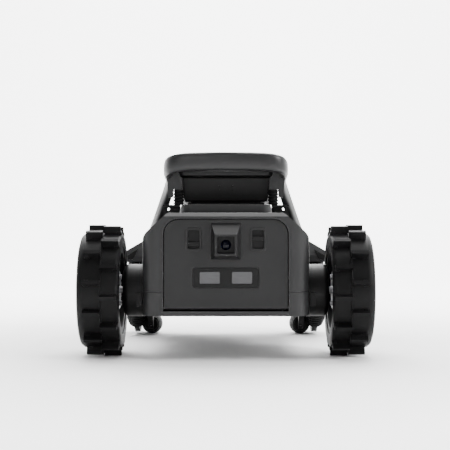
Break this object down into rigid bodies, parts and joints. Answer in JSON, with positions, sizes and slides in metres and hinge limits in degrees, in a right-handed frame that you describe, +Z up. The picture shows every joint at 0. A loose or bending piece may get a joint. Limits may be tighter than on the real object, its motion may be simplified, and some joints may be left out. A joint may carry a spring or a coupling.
{
  "type": "wheeled yard robot",
  "caption": "Low wheeled robot rover: two lugged drive wheels, omni wheels with barrel rollers, shelled body, hinged rear hatch with camera and charging contacts, and a roll hoop.",
  "frame": {"origin": "on the ground, at the middle of the overall width and length", "axes": "+X to the right seen from behind, +Y the way it drives (towards the omni wheels), +Z up"},
  "size_m": [0.486, 0.5942, 0.341],
  "materials": {
    "shell_plastic": "satin moulded",
    "dark_plastic": "fine textured",
    "hatch_plastic": "satin moulded",
    "wheel_plastic": "moulded",
    "tyre_rubber": "matt",
    "soft_rubber": "matt",
    "steel": "turned",
    "alloy": "cast",
    "contact_metal": "satin",
    "gear_brass": "cut",
    "motor_can": "satin",
    "battery_case": "moulded",
    "board_green": "solder mask",
    "lens_glass": "polished",
    "window_black": "polished"
  },
  "bodies": {
    "chassis": {"lower_shell": "shell_plastic", "upper_shell": "shell_plastic", "deck_plinth": "shell_plastic", "cabin": "dark_plastic", "cabin_lid": "shell_plastic", "front_visor": "window_black", "roll_hoop": "shell_plastic", "hoop_rails": "shell_plastic", "bellows_brackets": "dark_plastic", "mount_bellows": "soft_rubber", "omni_guards": "shell_plastic", "guard_inserts": "dark_plastic", "front_axles": "alloy", "axle_screws": "steel", "omni_axle_caps": "dark_plastic", "motor_housings": "dark_plastic", "gearbox_plates": "alloy", "drive_motors": "motor_can", "axle_bearings": "steel", "battery_pack": "battery_case", "main_board": "board_green", "hatch_hinge_pins": "steel"},
    "hatch": {"rear_hatch": "hatch_plastic", "camera_hood": "hatch_plastic", "camera_module": "dark_plastic", "camera_lens": "lens_glass", "contact_insert": "dark_plastic", "charge_contacts": "contact_metal"},
    "latch_left": {"latch_slider_left": "dark_plastic"},
    "latch_right": {"latch_slider_right": "dark_plastic"},
    "pinion_left": {"motor_pinion_left": "steel"},
    "pinion_right": {"motor_pinion_right": "steel"},
    "wheel_left": {"output_gear_left": "gear_brass", "drive_axle_left": "steel", "wheel_rim_left": "wheel_plastic", "tyre_left": "tyre_rubber", "hub_cap_left": "wheel_plastic", "hub_screws_left": "steel"},
    "wheel_right": {"output_gear_right": "gear_brass", "drive_axle_right": "steel", "wheel_rim_right": "wheel_plastic", "tyre_right": "tyre_rubber", "hub_cap_right": "wheel_plastic", "hub_screws_right": "steel"},
    "omni_left": {"omni_hub_left": "wheel_plastic", "omni_pins_left": "steel"},
    "omni_right": {"omni_hub_right": "wheel_plastic", "omni_pins_right": "steel"},
    "roller_left_1": {"roller_left_1": "soft_rubber"},
    "roller_left_2": {"roller_left_2": "soft_rubber"},
    "roller_left_3": {"roller_left_3": "soft_rubber"},
    "roller_left_4": {"roller_left_4": "soft_rubber"},
    "roller_left_5": {"roller_left_5": "soft_rubber"},
    "roller_left_6": {"roller_left_6": "soft_rubber"},
    "roller_right_1": {"roller_right_1": "soft_rubber"},
    "roller_right_2": {"roller_right_2": "soft_rubber"},
    "roller_right_3": {"roller_right_3": "soft_rubber"},
    "roller_right_4": {"roller_right_4": "soft_rubber"},
    "roller_right_5": {"roller_right_5": "soft_rubber"},
    "roller_right_6": {"roller_right_6": "soft_rubber"}
  },
  "joints": [
    {"name": "hatch_hinge", "type": "hinge", "parent": "chassis", "child": "hatch", "pos_m": [0, -0.27407, 0.087], "axis": [1, 0, 0], "range_deg": [0, 90]},
    {"name": "latch_left_slide", "type": "slide", "parent": "hatch", "child": "latch_left", "axis": [0, 0, 1], "range_m": [0, 0.014]},
    {"name": "latch_right_slide", "type": "slide", "parent": "hatch", "child": "latch_right", "axis": [0, 0, 1], "range_m": [-0.0088, 0.0052]},
    {"name": "wheel_left_spin", "type": "hinge", "parent": "chassis", "child": "wheel_left", "pos_m": [-0.207, -0.18207, 0.11], "axis": [1, 0, 0], "continuous": true},
    {"name": "pinion_left_spin", "type": "hinge", "parent": "chassis", "child": "pinion_left", "pos_m": [-0.154, -0.15357, 0.11], "axis": [1, 0, 0], "continuous": true},
    {"name": "omni_left_spin", "type": "hinge", "parent": "chassis", "child": "omni_left", "pos_m": [-0.1635, 0.21793, 0.08], "axis": [1, 0, 0], "continuous": true},
    {"name": "roller_left_1_spin", "type": "hinge", "parent": "omni_left", "child": "roller_left_1", "pos_m": [-0.1495, 0.21793, 0.021], "axis": [0, 1, 0], "continuous": true},
    {"name": "roller_left_2_spin", "type": "hinge", "parent": "omni_left", "child": "roller_left_2", "pos_m": [-0.1495, 0.26903, 0.1095], "axis": [0, -0.5, 0.866], "continuous": true},
    {"name": "roller_left_3_spin", "type": "hinge", "parent": "omni_left", "child": "roller_left_3", "pos_m": [-0.1495, 0.16684, 0.1095], "axis": [0, -0.5, -0.866], "continuous": true},
    {"name": "roller_left_4_spin", "type": "hinge", "parent": "omni_left", "child": "roller_left_4", "pos_m": [-0.178, 0.26903, 0.0505], "axis": [0, 0.5, 0.866], "continuous": true},
    {"name": "roller_left_5_spin", "type": "hinge", "parent": "omni_left", "child": "roller_left_5", "pos_m": [-0.178, 0.21793, 0.139], "axis": [0, -1, 0], "continuous": true},
    {"name": "roller_left_6_spin", "type": "hinge", "parent": "omni_left", "child": "roller_left_6", "pos_m": [-0.178, 0.16684, 0.0505], "axis": [0, 0.5, -0.866], "continuous": true},
    {"name": "wheel_right_spin", "type": "hinge", "parent": "chassis", "child": "wheel_right", "pos_m": [0.207, -0.18207, 0.11], "axis": [1, 0, 0], "continuous": true},
    {"name": "pinion_right_spin", "type": "hinge", "parent": "chassis", "child": "pinion_right", "pos_m": [0.154, -0.15357, 0.11], "axis": [1, 0, 0], "continuous": true},
    {"name": "omni_right_spin", "type": "hinge", "parent": "chassis", "child": "omni_right", "pos_m": [0.1635, 0.21793, 0.08], "axis": [1, 0, 0], "continuous": true},
    {"name": "roller_right_1_spin", "type": "hinge", "parent": "omni_right", "child": "roller_right_1", "pos_m": [0.1495, 0.21793, 0.021], "axis": [0, 1, 0], "continuous": true},
    {"name": "roller_right_2_spin", "type": "hinge", "parent": "omni_right", "child": "roller_right_2", "pos_m": [0.1495, 0.26903, 0.1095], "axis": [0, -0.5, 0.866], "continuous": true},
    {"name": "roller_right_3_spin", "type": "hinge", "parent": "omni_right", "child": "roller_right_3", "pos_m": [0.1495, 0.16684, 0.1095], "axis": [0, -0.5, -0.866], "continuous": true},
    {"name": "roller_right_4_spin", "type": "hinge", "parent": "omni_right", "child": "roller_right_4", "pos_m": [0.178, 0.26903, 0.0505], "axis": [0, 0.5, 0.866], "continuous": true},
    {"name": "roller_right_5_spin", "type": "hinge", "parent": "omni_right", "child": "roller_right_5", "pos_m": [0.178, 0.21793, 0.139], "axis": [0, -1, 0], "continuous": true},
    {"name": "roller_right_6_spin", "type": "hinge", "parent": "omni_right", "child": "roller_right_6", "pos_m": [0.178, 0.16684, 0.0505], "axis": [0, 0.5, -0.866], "continuous": true}
  ],
  "couplings": [
    {"joint": "pinion_left_spin", "follows": "wheel_left_spin", "ratio": -2.3529},
    {"joint": "pinion_right_spin", "follows": "wheel_right_spin", "ratio": -2.3529}
  ]
}
